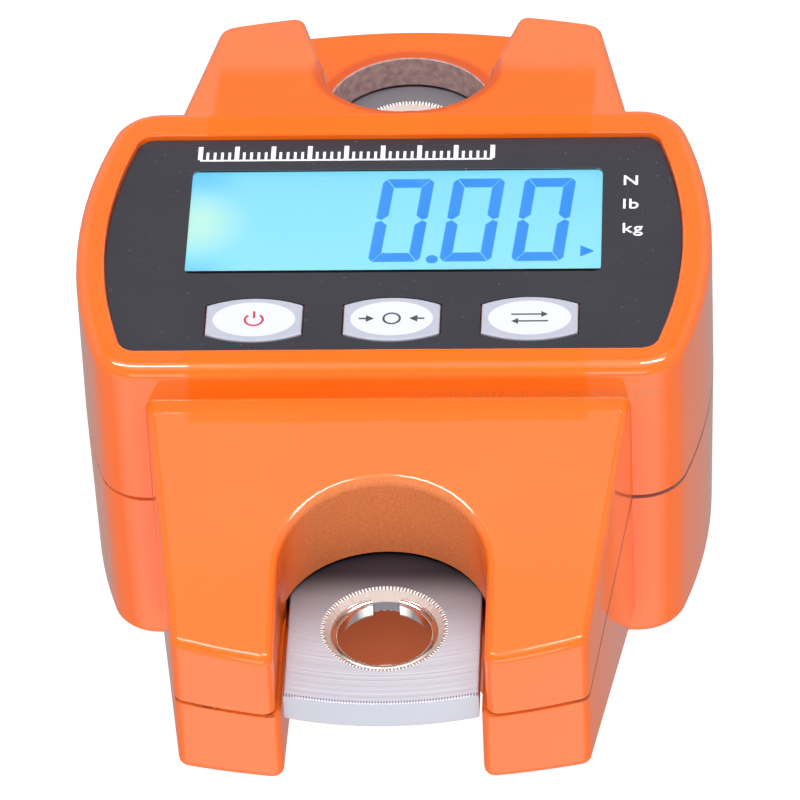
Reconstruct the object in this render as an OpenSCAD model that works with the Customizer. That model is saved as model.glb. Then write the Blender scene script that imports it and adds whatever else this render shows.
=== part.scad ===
// Hand-held crane scale lying on its back, display up.
// Millimetres, +Z out of the display, -Y towards the lower (load) eye,
// origin under the middle of the overall box.

/* [Body] */
// Width of the body across the bowed sides
body_w = 90; // [84:1:100]
// Height of the body between the two arms
body_d = 59.2; // [56:0.2:66]
// Thickness from the rear face to the rim round the display
body_h = 49.5; // [48.5:0.5:54]
// Height of the joint between the two shells
split_z = 26; // [25:0.5:27]
// Radius of the bow of the sides
side_bow = 82; // [70:1:100]
// Corner radius of the body outline
corner_r = 7; // [5:0.5:9]
// Wall thickness of both shells
wall = 2.4; // [2:0.1:3]

/* [Arms] */
// Reach of the lower arm past the body
lower_reach = 46.9; // [44:0.1:52]
// Reach of the upper arm past the body
upper_reach = 39.3; // [38:0.1:44]
// Width of an arm where it leaves the body
arm_root_w = 67.4; // [64:0.1:70]
// Width of an arm at its end
arm_tip_w = 56.4; // [52:0.1:60]
// Radius of the curved end of an arm
arm_end_r = 86; // [60:1:120]
// Height of the front of an arm at the body
arm_root_top = 44.2; // [42:0.1:46]
// Height of the front of the lower arm at its end
lower_tip_top = 35.9; // [35:0.1:40]
// Height of the front of the upper arm at its end
upper_tip_top = 37.6; // [36:0.1:40]
// Height of the back of an arm at the body
arm_root_bottom = 5; // [5:0.1:9]
// Height of the back of an arm at its end
arm_tip_bottom = 14.7; // [12:0.1:16]

/* [Notch and eye hole] */
// Half width of the lower notch in the front shell
notch_r = 14.3; // [14:0.1:15]
// Half width of the lower notch in the rear shell
rear_notch_r = 13.7; // [13.5:0.1:14.3]
// Distance of the notch centre from the body centre
notch_y = 58.3; // [57:0.1:60]
// Radius of the round hole in the upper arm
hole_r = 12.1; // [11.5:0.1:12.5]
// Distance of that hole from the body centre
hole_y = 50.3; // [49:0.1:51]
// Height of the bridge round the upper hole
bridge_top = 33.4; // [32:0.1:34]
// Half width of the recess over the bridge at the arm's end
recess_end_w = 16.8; // [15:0.1:18]

/* [Load cell] */
// Thickness of the steel plate
plate_t = 4.2; // [4:0.1:5]
// Width of the plate
plate_w = 26.6; // [25:0.1:27]
// Distance of the lower eye from the body centre
lower_eye_y = 59.5; // [58:0.1:60]
// Distance of the upper eye from the body centre
upper_eye_y = 50.2; // [49:0.1:51]
// Radius of the opening through each eye bush
eye_r = 6.4; // [6:0.1:6.6]
// Radius of the hole in the plate that holds a bush
eye_seat_r = 7; // [6.9:0.1:7.4]
// Radius of the countersink round each eye at the plate's face
eye_sink_r = 8.6; // [8:0.1:9]
// Clearance between the plate and the shells
plate_gap = 0.5; // [0.4:0.1:1.2]

/* [Display] */
// Width of the dark front panel
panel_w = 81.6; // [78:0.1:82]
// Height of the dark front panel
panel_d = 48.6; // [47:0.1:49]
// Thickness of the front panel
panel_t = 0.5; // [0.4:0.1:0.8]
// Depth of the panel below the rim
panel_drop = 1.1; // [0.8:0.1:1.4]
// Width of the display window
window_w = 58.8; // [56:0.1:60]
// Height of the display window
window_d = 23.4; // [22:0.1:24]
// Height of a digit
digit_h = 18.7; // [17:0.1:19.5]
// Width of a digit
digit_w = 7.3; // [7:0.1:8]
// Lean of the digits in degrees
digit_lean = 5; // [0:1:8]

/* [Keys] */
// Distance between two keys
key_pitch = 19.3; // [18:0.1:20]
// Width of a key
key_w = 13.5; // [12:0.1:14.5]
// Height of a key in its middle
key_d = 9.5; // [9:0.1:10.5]
// Height of the straight ends of a key
key_side = 6.3; // [5:0.1:8]
// Travel of a key
key_travel = 0.4; // [0.2:0.1:0.5]

/* [Battery] */
// Diameter of a AAA cell
cell_dia = 10.5; // [10.5:0.1:10.6]
// Length of a AAA cell
cell_len = 44.5; // [44:0.1:44.6]
// Number of cells
cell_count = 3; // [2:1:3]

/* [Hidden] */

$fn = 48;
eps = 0.01;
lower_end = -body_d / 2 - lower_reach;
upper_end = body_d / 2 + upper_reach;
// The notch takes the middle of the curved lower end away
notch_sag = arm_end_r - sqrt(pow(arm_end_r, 2) - pow(rear_notch_r, 2));
body_y = -(lower_end + notch_sag + upper_end) / 2;

// Middles of the panel, of the key row and of the window
panel_y = -0.55;
key_x = 0.3;
key_y = -17.35;
window_y = 4.9;

// Heights, from the back to the front
plate_z = split_z - plate_t / 2;
plate_top = split_z + plate_t / 2;
panel_top = body_h - panel_drop;
panel_z = panel_top - panel_t;
ceiling_z = panel_z - wall;
glass_top = panel_z - 0.6;
glass_t = 2.2;
glass_z = glass_top - glass_t;
glass_w = window_w + 1;
glass_lo_y = window_y - window_d / 2 + 1.1;
glass_hi_y = window_y + window_d / 2 + 1.3;
glass_ledge = 1.2;
light_t = 3;
board_t = 1.6;
light_lift = 3.4;
board_top = glass_z - light_t - light_lift;
board_z = board_top - board_t;
switch_h = 3.5;
plunger_h = 1.2;
eye_sink = 1.4;

// Rounding, clearance and hardware
rim_round = 2;
base_round = 1.2;
rear_draft = 0.5;
key_gap = 0.2;
key_proud = 0.15;
window_fit = 0.05;
boss_r = 3.6;
boss_hole_r = 1.25;
case_screw_x = 34.6;
case_screw_y = 21.8;
board_w = 62.4;
board_d = 51.6;
board_screw_at = [for (sx = [-1, 1], p = [[26.6, 23.4], [27.2, -10.6]]) [sx * p.x, p.y]];
clamp_y = 31.5;
clamp_screw_x = 8.5;
tray_t = 1.6;
tray_w = cell_len + 6;
tray_d = cell_count * (cell_dia + 0.6) + 2 * tray_t;
tray_y = -4;
cell_z = 3.6 + cell_dia / 2;
cover_w = tray_w + 5;
cover_t = 1.8;
cover_z = 0.3;
cover_top_y = tray_y + tray_d / 2 + 1.2;
cover_slack = 0.2;

// Points of an arc, both ends included
function arc(cx, cy, r, a0, a1, n) =
    [for (i = [0:n]) [cx + r * cos(a0 + (a1 - a0) * i / n), cy + r * sin(a0 + (a1 - a0) * i / n)]];

// A rectangle with bowed left and right sides and round corners
module barrel(w, d, bow, r) {
    side_cx = w / 2 - bow;
    corner_cy = d / 2 - r;
    corner_cx = side_cx + sqrt(pow(bow - r, 2) - pow(corner_cy, 2));
    meet = atan2(corner_cy, corner_cx - side_cx);
    right = concat(
        arc(corner_cx, -corner_cy, r, -90, -meet, 6),
        arc(side_cx, 0, bow, -meet, meet, 12),
        arc(corner_cx, corner_cy, r, meet, 90, 6));
    polygon(concat(right, [for (p = right) -p]));
}

module rounded_rect(w, d, r) {
    polygon(concat(
        arc(w / 2 - r, d / 2 - r, r, 0, 90, 5), arc(-w / 2 + r, d / 2 - r, r, 90, 180, 5),
        arc(-w / 2 + r, -d / 2 + r, r, 180, 270, 5), arc(w / 2 - r, -d / 2 + r, r, 270, 360, 5)));
}

module at_body() {
    translate([0, body_y, 0]) children();
}

module at_board_screws() {
    for (p = board_screw_at) translate(p) children();
}

module at_corners(x, y) {
    for (sx = [-1, 1], sy = [-1, 1]) translate([sx * x, sy * y, 0]) children();
}

// One thin slice of the body outline, drawn in by an inset
module body_slice(z, inset) {
    translate([0, 0, z]) linear_extrude(eps)
        barrel(body_w - 2 * inset, body_d - 2 * inset, side_bow - inset, corner_r - inset);
}

// Plan of an arm, drawn towards +Y from the middle of the body
module arm_plan(reach, inset) {
    root_x = arm_root_w / 2 - inset;
    tip_x = arm_tip_w / 2 - inset;
    end_y = body_d / 2 + reach - inset;
    turn = asin(tip_x / arm_end_r);
    polygon(concat([[root_x, 0], [root_x, body_d / 2]],
        arc(0, end_y - arm_end_r, arm_end_r, 90 - turn, 90 + turn, 16),
        [[-root_x, body_d / 2], [-root_x, 0]]));
}

// Block with the side profile of an arm, between two slanted faces
module arm_profile(reach, root_lo, tip_lo, root_hi, tip_hi) {
    tip_y = body_d / 2 + reach;
    rotate([90, 0, 90]) translate([0, 0, -body_w / 2]) linear_extrude(body_w)
        polygon([[0, root_lo], [body_d / 2, root_lo], [tip_y, tip_lo],
            [tip_y, tip_hi], [body_d / 2, root_hi], [0, root_hi]]);
}

module arm_solid(reach, inset, root_lo, tip_lo, root_hi, tip_hi) {
    intersection() {
        linear_extrude(body_h) arm_plan(reach, inset);
        arm_profile(reach, root_lo, tip_lo, root_hi, tip_hi);
    }
}

module lower_side() {
    rotate([0, 0, 180]) children();
}

// The open notch round the lower eye
module notch(r, z0, z1) {
    translate([0, 0, z0]) linear_extrude(z1 - z0) {
        translate([0, -notch_y]) circle(r, $fn = 64);
        translate([-r, lower_end - 1]) square([2 * r, -lower_end + 1 - notch_y]);
    }
}

module upper_hole(r, z0, z1) {
    translate([0, hole_y, z0]) cylinder(r = r, h = z1 - z0, $fn = 64);
}

// The flared recess over the bridge of the upper arm
module upper_recess(z0, z1, grow = 0) {
    translate([0, 0, z0]) linear_extrude(z1 - z0)
        polygon([[-hole_r - grow, hole_y], [-recess_end_w - grow, upper_end + 1],
            [recess_end_w + grow, upper_end + 1], [hole_r + grow, hole_y]]);
}

// The space that the load cell needs inside the shells
module plate_space(z0, z1) {
    w = plate_w + 2 * plate_gap;
    translate([-w / 2, -notch_y, z0]) cube([w, notch_y + upper_eye_y + plate_w / 2, z1 - z0]);
}

module front_shell() {
    top = body_h + 1;
    color("darkorange") at_body() difference() {
        union() {
            difference() {
                union() {
                    hull() {
                        body_slice(split_z, 0);
                        body_slice(body_h - rim_round, 0.2);
                        body_slice(body_h - rim_round * 0.3, rim_round * 0.45);
                        body_slice(body_h - eps, rim_round);
                    }
                    arm_solid(upper_reach, 0, split_z, split_z, arm_root_top, upper_tip_top);
                    lower_side()
                        arm_solid(lower_reach, 0, split_z, split_z, arm_root_top, lower_tip_top);
                }
                translate([0, 0, split_z - eps]) linear_extrude(ceiling_z - split_z + eps)
                    barrel(body_w - 2 * wall, body_d - 2 * wall, side_bow - wall, corner_r - wall);
                arm_solid(upper_reach, wall, split_z - eps, split_z - eps,
                    arm_root_top - wall, upper_tip_top - wall);
                lower_side() arm_solid(lower_reach, wall, split_z - eps, split_z - eps,
                    arm_root_top - wall, lower_tip_top - wall);
            }
            intersection() {
                arm_solid(upper_reach, 0, split_z, split_z, arm_root_top, upper_tip_top);
                union() {
                    upper_hole(hole_r + wall, split_z, top);
                    upper_recess(split_z, top, wall);
                }
            }
            intersection() {
                lower_side()
                    arm_solid(lower_reach, 0, split_z, split_z, arm_root_top, lower_tip_top);
                notch(notch_r + wall, split_z, top);
            }
            at_corners(case_screw_x, case_screw_y) translate([0, 0, split_z])
                cylinder(r = boss_r, h = ceiling_z - split_z + 1);
            at_board_screws() translate([0, 0, board_top])
                cylinder(r = 2.2, h = ceiling_z - board_top + 1);
        }
        notch(notch_r, split_z - 1, top);
        upper_hole(hole_r, split_z - 1, top);
        upper_recess(bridge_top, top);
        plate_space(split_z - 1, plate_top + plate_gap);
        translate([0, panel_y, panel_z]) linear_extrude(top)
            barrel(panel_w + 0.1, panel_d + 0.1, side_bow - 4, 2.5);
        translate([-glass_w / 2 - 0.2, glass_lo_y - 0.2, ceiling_z - 1])
            cube([glass_w + 0.4, glass_hi_y + glass_ledge - glass_lo_y + 0.4, top]);
        for (i = [-1:1]) translate([key_x + i * key_pitch, key_y, ceiling_z - 1])
            linear_extrude(top) key_outline(key_gap);
        at_corners(case_screw_x, case_screw_y) translate([0, 0, split_z - 1])
            cylinder(r = boss_hole_r, h = 12);
        at_board_screws() translate([0, 0, board_top - 1])
            cylinder(r = 0.9, h = 6);
    }
}

// The two posts of the rear shell that carry the load cell
module clamp_bosses() {
    foot_z = arm_root_bottom + wall;
    for (sx = [-1, 1]) translate([sx * clamp_screw_x, clamp_y, foot_z])
        cylinder(r = boss_r, h = plate_z - foot_z);
}

module rear_shell() {
    tray_room_w = tray_w + 0.8;
    tray_room_d = tray_d + 0.8;
    color("darkorange") at_body() difference() {
        union() {
            difference() {
                union() {
                    hull() {
                        body_slice(0, rear_draft + base_round);
                        body_slice(base_round, rear_draft);
                        body_slice(split_z - eps, 0);
                    }
                    arm_solid(upper_reach, 0, arm_root_bottom, arm_tip_bottom, split_z, split_z);
                    lower_side() arm_solid(lower_reach, 0, arm_root_bottom, arm_tip_bottom,
                        split_z, split_z);
                }
                hull() {
                    body_slice(wall, rear_draft + wall + 0.4);
                    body_slice(split_z + eps, wall);
                }
                arm_solid(upper_reach, wall, arm_root_bottom + wall, arm_tip_bottom + wall,
                    split_z + eps, split_z + eps);
                lower_side() arm_solid(lower_reach, wall, arm_root_bottom + wall,
                    arm_tip_bottom + wall, split_z + eps, split_z + eps);
            }
            intersection() {
                arm_solid(upper_reach, 0, arm_root_bottom, arm_tip_bottom, split_z, split_z);
                upper_hole(hole_r + wall, 0, split_z);
            }
            intersection() {
                lower_side() arm_solid(lower_reach, 0, arm_root_bottom, arm_tip_bottom,
                    split_z, split_z);
                notch(rear_notch_r + wall, 0, split_z);
            }
            at_corners(case_screw_x, case_screw_y) translate([0, 0, wall - 1])
                cylinder(r = boss_r, h = split_z - wall + 1);
            clamp_bosses();
        }
        notch(rear_notch_r, -1, split_z + 1);
        upper_hole(hole_r, -1, split_z + 1);
        difference() {
            plate_space(plate_z - plate_gap, split_z + 1);
            clamp_bosses();
        }
        for (sx = [-1, 1]) translate([sx * clamp_screw_x, clamp_y, plate_z - 9])
            cylinder(r = 1.6, h = 20);
        at_corners(case_screw_x, case_screw_y) {
            translate([0, 0, -1]) cylinder(r = 2.8, h = 6.5);
            cylinder(r = 1.6, h = split_z + 1);
        }
        translate([-tray_room_w / 2, tray_y - tray_room_d / 2, -1])
            cube([tray_room_w, tray_room_d, 10]);
        translate([-cover_w / 2 - cover_slack, -body_d, -1])
            cube([cover_w + 2 * cover_slack, body_d + cover_top_y + cover_slack,
                1 + cover_z + cover_t + 0.1]);
    }
}

// ---------------------------------------------------------------- display

module overlay_panel() {
    color("dimgray") at_body() translate([0, 0, panel_z]) linear_extrude(panel_t) difference() {
        translate([0, panel_y]) barrel(panel_w, panel_d, side_bow - 4, 2.45);
        translate([0, window_y]) rounded_rect(window_w, window_d, 1);
        for (i = [-1:1]) translate([key_x + i * key_pitch, key_y]) key_outline(key_gap);
    }
}

module lcd_window() {
    color("powderblue") at_body() translate([0, window_y, panel_z]) linear_extrude(panel_t)
        rounded_rect(window_w - window_fit, window_d - window_fit, 1);
}

// Two plates, the rear one with a ledge for the contacts
module lcd_glass() {
    visible_d = glass_hi_y - glass_lo_y;
    color("paleturquoise") at_body() translate([-glass_w / 2, glass_lo_y, glass_z]) {
        cube([glass_w, visible_d + glass_ledge, glass_t / 2]);
        cube([glass_w, visible_d, glass_t]);
    }
}

// One outline point of a digit, leaned over
function lean(p) = [p.x + p.y * tan(digit_lean), p.y];

module segment(points) {
    polygon([for (p = points) lean(p)]);
}

// The six lit bars of a nought, split by thin mitred gaps
module nought() {
    bar_w = 1.65;
    bar_h = 1.85;
    tip = bar_w * 0.3;
    cut = bar_w * 0.5;
    gap = 0.13;
    mid = digit_h / 2;
    for (top = [0, 1]) {
        y0 = top * digit_h;
        s = 1 - 2 * top;
        segment([[tip + gap, y0], [digit_w - tip - gap, y0],
            [digit_w - bar_w - gap, y0 + s * bar_h], [bar_w + gap, y0 + s * bar_h]]);
        for (right = [0, 1]) {
            x0 = right * digit_w;
            k = 1 - 2 * right;
            segment([[x0, y0 + s * cut], [x0 + k * tip, y0 + s * gap],
                [x0 + k * bar_w, y0 + s * (bar_h + gap)],
                [x0 + k * bar_w, mid - s * bar_w * 0.7],
                [x0 + k * bar_w * 0.45, mid - s * gap * 1.2], [x0, mid - s * bar_w * 0.35]]);
        }
    }
}

module lcd_segments() {
    digit_x = [-3.6, 6.5, 16.65];
    digit_y = -3.4;
    color("dodgerblue") at_body() translate([0, 0, glass_top]) linear_extrude(0.12) {
        for (x = digit_x) translate([x, digit_y]) nought();
        translate([5.45, digit_y + 0.45]) circle(0.85, $fn = 24);
        translate([26.4, -1.3]) polygon([[0, -1.2], [1.9, 0], [0, 1.2]]);
    }
}

module backlight() {
    color("white") at_body() translate([-glass_w / 2, glass_lo_y, glass_z - light_t])
        cube([glass_w, glass_hi_y - glass_lo_y - 0.8, light_t]);
}

// The frame that holds glass and light under the front wall
module lcd_frame() {
    rim = 1.2;
    foot = 4;
    inner_d = glass_hi_y + glass_ledge - glass_lo_y + 0.1;
    color("gainsboro") at_body() translate([0, glass_lo_y + inner_d / 2, board_top])
        linear_extrude(ceiling_z - board_top) difference() {
            square([glass_w + 2 * rim, inner_d + 2 * rim], center = true);
            square([glass_w + 0.1, inner_d], center = true);
        }
    color("gainsboro") at_body() translate([-glass_w / 2, glass_lo_y, board_top])
        for (x = [0, glass_w - foot]) translate([x, 0, 0])
            cube([foot, glass_hi_y - glass_lo_y - 0.8, light_lift]);
}

// Striped rubber strip that joins the ledge of the glass to the board
module lcd_connector() {
    strip_w = 1.9;
    color("lightpink") at_body()
        translate([-glass_w / 2 + 3, glass_hi_y + glass_ledge - strip_w - 0.1, board_top])
        cube([glass_w - 6, strip_w, glass_z - board_top]);
}

// ------------------------------------------------------------ electronics

module main_board() {
    color("seagreen") at_body() translate([0, 0, board_z]) linear_extrude(board_t) difference() {
        square([board_w, board_d], center = true);
        at_board_screws() circle(1.3);
        at_corners(case_screw_x, case_screw_y) circle(boss_r + 0.6);
    }
}

// Chips and other parts on the back of the board
module board_chips() {
    color("black") at_body() {
        translate([0, 9, board_z - 1.4]) linear_extrude(1.4) rounded_rect(12, 12, 2);
        translate([17, -10, board_z - 1.6]) linear_extrude(1.6) square([5, 6.2], center = true);
        translate([-20, -8, board_z - 2.4]) cylinder(r = 2, h = 2.4);
        translate([-20, 4, board_z - 2.4]) cylinder(r = 2, h = 2.4);
        translate([14, 10, board_z - 1.8]) linear_extrude(1.8) rounded_rect(8, 3.2, 1.5);
    }
}

// A cylinder-head screw, head upwards, with a cross slot
module screw(head_r, head_h, shank_r, length) {
    difference() {
        union() {
            cylinder(r = head_r, h = head_h);
            translate([0, 0, -length]) cylinder(r = shank_r, h = length + eps);
        }
        for (a = [0, 90]) rotate([0, 0, a])
            translate([-head_r * 0.6, -head_r * 0.12, head_h * 0.45])
            cube([head_r * 1.2, head_r * 0.24, head_h]);
    }
}

module board_screws() {
    color("silver") at_body() at_board_screws()
        translate([0, 0, board_z]) mirror([0, 0, 1]) screw(2, 1.2, 0.9, board_t + 4);
}

module switch_bodies() {
    color("dimgray") at_body() for (i = [-1:1]) translate([key_x + i * key_pitch, key_y, board_top])
        difference() {
            linear_extrude(switch_h) rounded_rect(6, 6, 0.4);
            translate([0, 0, switch_h - plunger_h - key_travel])
                cylinder(r = 1.8, h = plunger_h + 1);
        }
}

module switch_plunger(i) {
    z = board_top + switch_h - plunger_h;
    color("black") at_body() translate([key_x + i * key_pitch, key_y, z])
        cylinder(r = 1.7, h = plunger_h + key_travel + 0.4);
}

module switch_plunger_on_off() {
    switch_plunger(-1);
}

module switch_plunger_tare() {
    switch_plunger(0);
}

module switch_plunger_unit() {
    switch_plunger(1);
}

// A rectangle with bowed top and bottom edges, made larger by a gap
module key_outline(gap) {
    rise = (key_d - key_side) / 2;
    half_w = key_w / 2;
    r = (half_w * half_w + rise * rise) / (2 * rise);
    turn = asin(half_w / r);
    top = [for (i = [0:16]) let (a = turn - 2 * turn * i / 16)
        [(half_w + gap) * sin(a) / sin(turn), key_d / 2 + gap - r + r * cos(a)]];
    polygon(concat(top, [for (p = top) -p]));
}

// A key with its retaining flange and the stem that meets the switch
module key(i) {
    plunger_top = board_top + switch_h + key_travel + 0.4;
    flange_t = 0.9;
    flange_z = ceiling_z - flange_t - 0.1;
    color("gainsboro") at_body() translate([key_x + i * key_pitch, key_y, 0]) {
        translate([0, 0, flange_z + flange_t])
            linear_extrude(panel_top + key_proud - flange_z - flange_t) key_outline(0);
        translate([0, 0, flange_z]) linear_extrude(flange_t) key_outline(0.9);
        translate([0, 0, plunger_top]) cylinder(r = 1.7, h = flange_z - plunger_top);
    }
}

module key_on_off() {
    key(-1);
}

module key_tare() {
    key(0);
}

module key_unit() {
    key(1);
}

// -------------------------------------------------------------- load cell

module plate_outline() {
    lower_tip = -lower_end - 1.5;
    tip_r = 50;
    turn = asin(plate_w / 2 / tip_r);
    polygon(concat(
        arc(0, upper_eye_y, plate_w / 2, 0, 180, 24),
        [for (p = arc(0, lower_tip - tip_r, tip_r, 90 + turn, 90 - turn, 12)) [p.x, -p.y]]));
}

// The hole of an eye, countersunk from both faces of the plate
module eye_seat() {
    cylinder(r = eye_seat_r, h = plate_t + 2, center = true, $fn = 64);
    for (s = [0, 1]) mirror([0, 0, s]) translate([0, 0, plate_t / 2 - eye_sink])
        cylinder(r1 = eye_seat_r, r2 = eye_sink_r, h = eye_sink + eps, $fn = 64);
}

// Two slots from opposite edges make the S that bends under load
module load_cell() {
    slot_w = 2.4;
    slot_l = plate_w * 0.72;
    color("silver") at_body() difference() {
        translate([0, 0, plate_z]) linear_extrude(plate_t) plate_outline();
        for (y = [-lower_eye_y, upper_eye_y]) translate([0, y, split_z]) eye_seat();
        for (s = [-1, 1]) translate([s * (plate_w - slot_l) / 2 + s, s * 9, split_z])
            cube([slot_l + 2, slot_w, plate_t + 2], center = true);
        for (sx = [-1, 1]) translate([sx * clamp_screw_x, clamp_y, plate_z - 1])
            cylinder(r = 2.1, h = plate_t + 2);
    }
}

// A split chromed bush, its lips flared into the countersinks
module eye_bush() {
    seat_h = plate_t / 2 - eye_sink;
    flare = 0.5;
    flare_h = flare * eye_sink / (eye_sink_r - eye_seat_r);
    split_w = 4;
    lip_r = eye_seat_r + flare - 0.02;
    difference() {
        rotate_extrude($fn = 64) polygon([
            [eye_r, -seat_h], [eye_r + flare, -seat_h - flare_h],
            [lip_r, -seat_h - flare_h], [eye_seat_r, -seat_h],
            [eye_seat_r, seat_h], [lip_r, seat_h + flare_h],
            [eye_r + flare, seat_h + flare_h], [eye_r, seat_h]]);
        translate([-split_w / 2, 0, -plate_t]) cube([split_w, eye_sink_r, 2 * plate_t]);
    }
}

module lower_eye_bush() {
    color("silver") at_body() translate([0, -lower_eye_y, split_z]) eye_bush();
}

module upper_eye_bush() {
    color("silver") at_body() translate([0, upper_eye_y, split_z]) rotate([0, 0, 180])
        eye_bush();
}

// Foil gauges on the ligament between the slots, both faces
module strain_gauges() {
    gauge_t = 0.3;
    color("goldenrod") at_body() for (x = [-5, 5], z = [plate_top, plate_z - gauge_t])
        translate([x, 0, z]) linear_extrude(gauge_t) square([4, 7], center = true);
}

// The shielded lead from the gauges up to the board
module gauge_cable() {
    color("whitesmoke") at_body() translate([0, -2, 0]) {
        rise = board_z - plate_top - 0.3;
        translate([9, 0, plate_top + 0.3]) cylinder(r = 0.9, h = rise);
        translate([-9, 0, plate_top + 0.3]) cylinder(r = 0.9, h = rise);
    }
}

// The bar that presses the upper end of the load cell on its bosses
module cell_clamp() {
    color("slategray") at_body() difference() {
        translate([0, clamp_y, plate_top]) linear_extrude(1.5) rounded_rect(25, 7, 1.5);
        for (sx = [-1, 1]) translate([sx * clamp_screw_x, clamp_y, plate_top - 1])
            cylinder(r = 2.1, h = 4);
    }
}

module cell_screws() {
    color("silver") at_body() for (sx = [-1, 1])
        translate([sx * clamp_screw_x, clamp_y, plate_top + 1.5]) screw(3.2, 2, 1.6, 14);
}

module case_screws() {
    color("silver") at_body() at_corners(case_screw_x, case_screw_y)
        translate([0, 0, 5.5]) mirror([0, 0, 1]) screw(2.5, 2, 1.25, 31);
}

// ---------------------------------------------------------------- battery

module battery_box() {
    box_top = cell_z + cell_dia / 2 + 2;
    color("black") at_body() translate([0, tray_y, 0]) difference() {
        translate([-tray_w / 2, -tray_d / 2, cover_z + cover_t + 0.2])
            cube([tray_w, tray_d, box_top - cover_z - cover_t - 0.2]);
        translate([-tray_w / 2 + tray_t, -tray_d / 2 + tray_t, 0])
            cube([tray_w - 2 * tray_t, tray_d - 2 * tray_t, box_top - tray_t]);
    }
}

module battery_cells() {
    pitch = cell_dia + 0.6;
    nub = 1;
    color("steelblue") at_body() for (i = [0:cell_count - 1])
        translate([0, tray_y + (i - (cell_count - 1) / 2) * pitch, cell_z])
        rotate([0, (i % 2 == 0 ? 1 : -1) * 90, 0]) {
            translate([0, 0, -cell_len / 2 + nub / 2 + 0.4])
                cylinder(r = cell_dia / 2, h = cell_len - nub - 0.8);
            translate([0, 0, cell_len / 2 - nub / 2 - 0.4]) cylinder(r = 1.9, h = nub);
        }
}

// Centres of the cell ends that a contact touches: side +1 is +X
module at_cell_ends(spring_side) {
    pitch = cell_dia + 0.6;
    for (i = [0:cell_count - 1]) {
        side = (i % 2 == 0 ? 1 : -1) * spring_side;
        translate([side * (tray_w / 2 - tray_t), tray_y + (i - (cell_count - 1) / 2) * pitch, cell_z])
            rotate([0, -90 * side, 0]) children();
    }
}

// Coils of the springs that press on the flat ends of the cells
module battery_springs() {
    wire = 0.35;
    reach = tray_w / 2 - tray_t - cell_len / 2 - 0.05;
    color("silver") at_body() at_cell_ends(-1) for (k = [0:2])
        translate([0, 0, wire + k * (reach - 2 * wire) / 2]) rotate_extrude($fn = 32)
            translate([3.4 - k * 0.6, 0]) circle(wire, $fn = 16);
}

// Flat plates that touch the raised ends of the cells
module battery_plates() {
    reach = tray_w / 2 - tray_t - cell_len / 2 - 0.15;
    color("silver") at_body() at_cell_ends(1) linear_extrude(reach) rounded_rect(7, 7, 1);
}

// The pair of leads from the battery box up past the load cell
module battery_cable() {
    lead_x = plate_w / 2 + 5;
    box_top = cell_z + cell_dia / 2 + 2;
    color("firebrick") at_body() for (dx = [0, 1.7])
        translate([lead_x - dx, tray_y, box_top]) cylinder(r = 0.7, h = board_z - box_top);
}

// The sliding lid over the cells, with grip ribs at its open end
module battery_cover() {
    cover_y0 = -body_d / 2 + rear_draft + base_round;
    color("darkorange") at_body() difference() {
        translate([-cover_w / 2, cover_y0, cover_z])
            cube([cover_w, cover_top_y - cover_y0, cover_t]);
        for (k = [0:4]) translate([-8, cover_y0 + 3 + 1.6 * k, cover_z - 1])
            cube([16, 0.8, 1.5]);
    }
}

front_shell();
rear_shell();
overlay_panel();
lcd_window();
lcd_frame();
lcd_glass();
lcd_segments();
backlight();
lcd_connector();
main_board();
board_chips();
board_screws();
switch_bodies();
switch_plunger_on_off();
switch_plunger_tare();
switch_plunger_unit();
key_on_off();
key_tare();
key_unit();
load_cell();
lower_eye_bush();
upper_eye_bush();
strain_gauges();
gauge_cable();
cell_clamp();
cell_screws();
case_screws();
battery_box();
battery_cells();
battery_springs();
battery_plates();
battery_cable();
battery_cover();
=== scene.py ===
# %% [markdown]
# # A hand-held crane scale on its back
# The scale hangs from one eye and carries its load on the other. Between the eyes runs one flat
# steel load cell, and round it sits a cast orange case of two shells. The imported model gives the
# places and the motion of every part; this file gives the visible parts their rounded edges,
# their print and their finishes.

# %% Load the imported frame
import math

import bmesh
import bpy
from mathutils import Matrix, Vector


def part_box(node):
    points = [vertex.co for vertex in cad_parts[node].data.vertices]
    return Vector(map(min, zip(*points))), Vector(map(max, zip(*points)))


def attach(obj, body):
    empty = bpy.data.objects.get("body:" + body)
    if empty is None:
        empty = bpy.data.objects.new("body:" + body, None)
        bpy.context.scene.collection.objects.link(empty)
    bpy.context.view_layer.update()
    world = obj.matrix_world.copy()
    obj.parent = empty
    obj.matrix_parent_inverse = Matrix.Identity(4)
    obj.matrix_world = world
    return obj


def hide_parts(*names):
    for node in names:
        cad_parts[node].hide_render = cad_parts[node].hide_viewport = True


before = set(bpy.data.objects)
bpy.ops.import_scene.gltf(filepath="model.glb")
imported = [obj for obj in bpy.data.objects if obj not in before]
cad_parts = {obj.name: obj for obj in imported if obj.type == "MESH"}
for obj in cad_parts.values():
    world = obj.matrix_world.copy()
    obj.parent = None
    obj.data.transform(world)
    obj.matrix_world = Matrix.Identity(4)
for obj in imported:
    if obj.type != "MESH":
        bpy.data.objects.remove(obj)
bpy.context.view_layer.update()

# %% [markdown]
# ## Sizes
# Shapes are drawn in millimetres about the middle of the body and moved to the frame's place when
# a piece is finished. Whatever the frame can say is read from its boxes, and only the few sizes
# that no box shows, such as a radius, are written here.

# %% Sizes of the case, in millimetres
MM = 0.001
panel_middle = -0.55


def box_mm(node):
    """Lowest and highest corner of a CAD node, in millimetres, from the middle of the body."""
    low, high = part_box(node)
    shift = Vector((0, middle_y, 0))
    return Vector(low) / MM - shift, Vector(high) / MM - shift


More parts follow.
